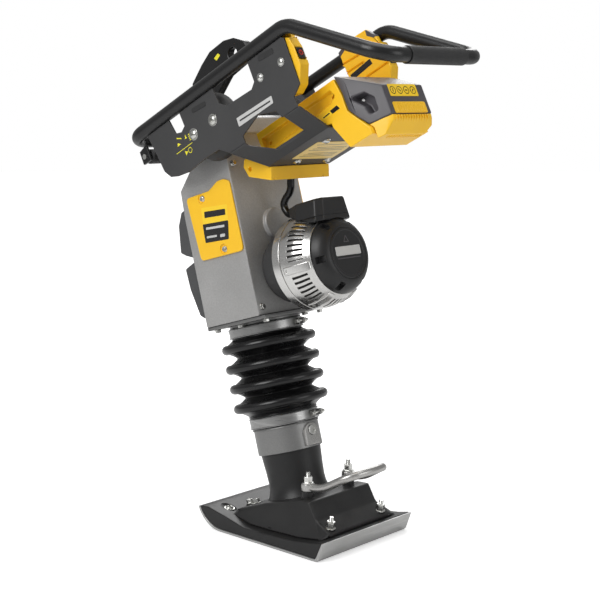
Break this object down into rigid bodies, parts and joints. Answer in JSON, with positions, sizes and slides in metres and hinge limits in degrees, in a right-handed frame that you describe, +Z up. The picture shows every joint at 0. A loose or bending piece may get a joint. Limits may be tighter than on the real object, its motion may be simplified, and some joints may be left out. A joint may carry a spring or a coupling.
{
  "type": "jumping jack rammer",
  "caption": "Battery-powered upright trench rammer: leaning spring leg with bellows on a flat shoe, crank housing, rear motor and looped handle.",
  "frame": {"origin": "where the axis of the leaning leg meets the flat of the sole", "axes": "+X the way the rammer travels (toe), +Y its left side, +Z up"},
  "size_m": [0.7273, 0.329, 1.0545],
  "materials": {
    "sole_steel": "satin light grey steel",
    "black_paint": "satin black paint on a casting",
    "bright_steel": "bright zinc-plated steel",
    "cast_paint": "grained grey paint on a casting",
    "cast_aluminium": "sand-cast, satin",
    "rubber": "black rubber with a soft gloss",
    "yellow_plastic": "satin yellow moulding",
    "charcoal_paint": "fine-textured charcoal powder coat",
    "tube_black": "satin black powder coat",
    "grey_plastic": "moulded dark grey",
    "black_plastic": "moulded satin black",
    "copper": "copper windings and cells"
  },
  "bodies": {
    "foot": {"sole_plate": "sole_steel", "shoe_body": "black_paint", "foot_casting": "black_paint", "lift_loop": "bright_steel", "spring_cylinder": "cast_aluminium", "cylinder_cap": "cast_aluminium", "sight_plug": "bright_steel", "lower_clamp": "bright_steel", "bellows": "rubber", "lower_spring": "bright_steel", "upper_spring": "bright_steel"},
    "upper": {"crank_housing": "cast_paint", "bottom_flange": "cast_aluminium", "upper_clamp": "bright_steel", "guide_tube": "cast_aluminium", "side_cover_left": "yellow_plastic", "side_cover_right": "yellow_plastic", "front_bumper_lower": "grey_plastic", "front_bumper_upper": "grey_plastic", "rubber_mount_left": "rubber", "rubber_mount_right": "rubber", "crank_axle": "bright_steel", "motor_adapter": "cast_aluminium", "motor_shell": "cast_aluminium", "stator": "copper", "bearing_front": "bright_steel", "bearing_rear": "bright_steel", "end_shield": "cast_aluminium", "motor_cap": "black_plastic", "terminal_box": "black_plastic", "motor_cable": "rubber"},
    "ram": {"ram": "bright_steel"},
    "crank": {"crank_gear": "bright_steel", "crank_pin": "bright_steel"},
    "con_rod": {"con_rod": "bright_steel", "wrist_pin": "bright_steel"},
    "rotor": {"rotor": "bright_steel", "pinion": "bright_steel", "fan": "black_plastic"},
    "handle": {"handle_tube": "tube_black", "rear_grip": "rubber", "side_plate_left": "charcoal_paint", "side_plate_right": "charcoal_paint", "battery_tray": "charcoal_paint", "battery_dock": "yellow_plastic", "controller_box": "yellow_plastic", "upright_left": "yellow_plastic", "upright_right": "yellow_plastic", "front_beam": "charcoal_paint", "lifting_bail": "tube_black", "roller_axle": "bright_steel", "roller_bracket_left": "charcoal_paint", "roller_bracket_right": "charcoal_paint"},
    "roller": {"front_roller": "rubber"},
    "battery": {"battery_case": "grey_plastic", "cell_block": "copper", "battery_base": "yellow_plastic"},
    "latch": {"dock_latch": "black_plastic"},
    "power_button": {"power_button": "black_plastic"}
  },
  "joints": [
    {"name": "stroke", "type": "slide", "parent": "foot", "child": "upper", "axis": [0.2756, 0, 0.9613], "range_m": [-0.03, 0.035], "stiffness_N_per_m": 120000, "springref_m": 0.0038, "deforming": ["bellows", "lower_spring", "upper_spring"]},
    {"name": "ram_slide", "type": "slide", "parent": "upper", "child": "ram", "axis": [0.2756, 0, 0.9613], "range_m": [-0.022, 0.019]},
    {"name": "crank_turn", "type": "hinge", "parent": "upper", "child": "crank", "pos_m": [0.12258, 0, 0.63792], "axis": [0.9613, 0, -0.2756], "continuous": true},
    {"name": "con_rod_swing", "type": "hinge", "parent": "crank", "child": "con_rod", "pos_m": [0.13642, 0, 0.60275], "axis": [0.9613, 0, -0.2756], "continuous": true},
    {"name": "rotor_spin", "type": "hinge", "parent": "upper", "child": "rotor", "pos_m": [-0.02225, 0, 0.57542], "axis": [0.9613, 0, -0.2756], "continuous": true},
    {"name": "handle_tilt", "type": "hinge", "parent": "upper", "child": "handle", "pos_m": [0.14685, 0, 0.84808], "axis": [0, 1, 0], "range_deg": [-3, 3], "stiffness_Nm_per_rad": 4000, "springref_deg": 0.34, "deforming": ["motor_cable"]},
    {"name": "roller_spin", "type": "hinge", "parent": "handle", "child": "roller", "pos_m": [0.3551, 0, 0.78168], "axis": [0, 1, 0], "continuous": true},
    {"name": "battery_slide", "type": "slide", "parent": "handle", "child": "battery", "axis": [-0.8949, 0, 0.4462], "range_m": [0, 0.065]},
    {"name": "latch_slide", "type": "slide", "parent": "handle", "child": "latch", "axis": [0.8949, 0, -0.4462], "range_m": [0, 0.004], "stiffness_N_per_m": 300},
    {"name": "button_press", "type": "slide", "parent": "handle", "child": "power_button", "axis": [0.8949, 0, -0.4462], "range_m": [0, 0.003], "stiffness_N_per_m": 400}
  ],
  "couplings": [
    {"joint": "ram_slide", "follows": "stroke", "ratio": -0.6},
    {"joint": "rotor_spin", "follows": "crank_turn", "ratio": -4.7143},
    {"joint": "con_rod_swing", "follows": "crank_turn", "ratio": -1}
  ]
}
